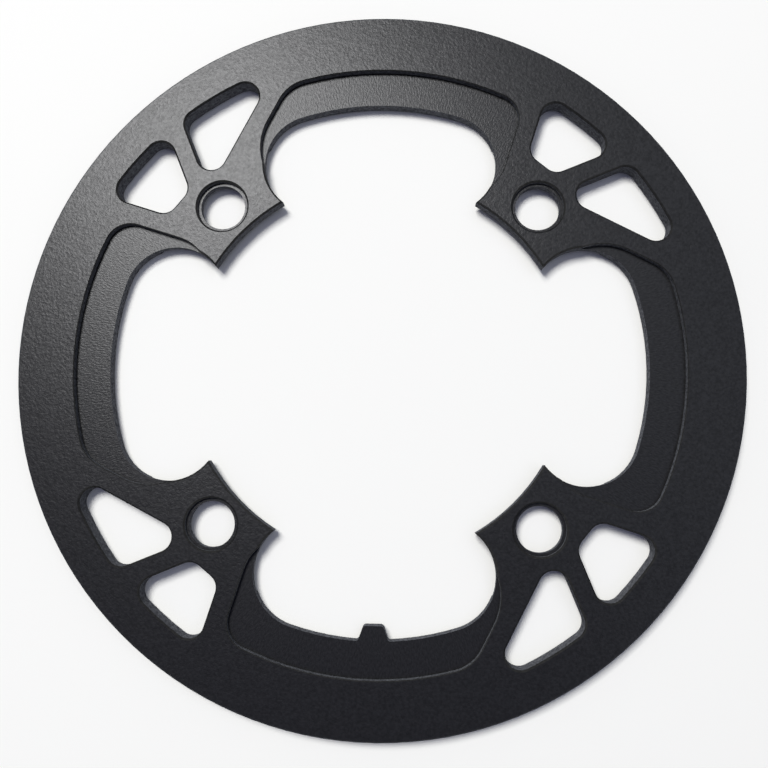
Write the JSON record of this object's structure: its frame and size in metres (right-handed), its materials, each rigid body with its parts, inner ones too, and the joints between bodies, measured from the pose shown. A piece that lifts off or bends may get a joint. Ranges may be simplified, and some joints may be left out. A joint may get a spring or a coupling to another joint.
{
  "type": "bicycle chain guard",
  "caption": "Flat milled ring that bolts to a bicycle crank beside the chainring and shields the chain, with scalloped recessed bays and lightening windows.",
  "frame": {"origin": "centre of the bolt circle on the flat back face, which is the centre of the part's underside", "axes": "+Z out of the worked front face, the bolts lie on the diagonals between X and Y, and the stop nub is on the -Y side"},
  "size_m": [0.166, 0.166, 0.0045],
  "materials": {
    "plate": "black anodised over a fine bead-blasted surface, satin"
  },
  "bodies": {
    "root": {"guard_plate": "plate"}
  },
  "joints": []
}
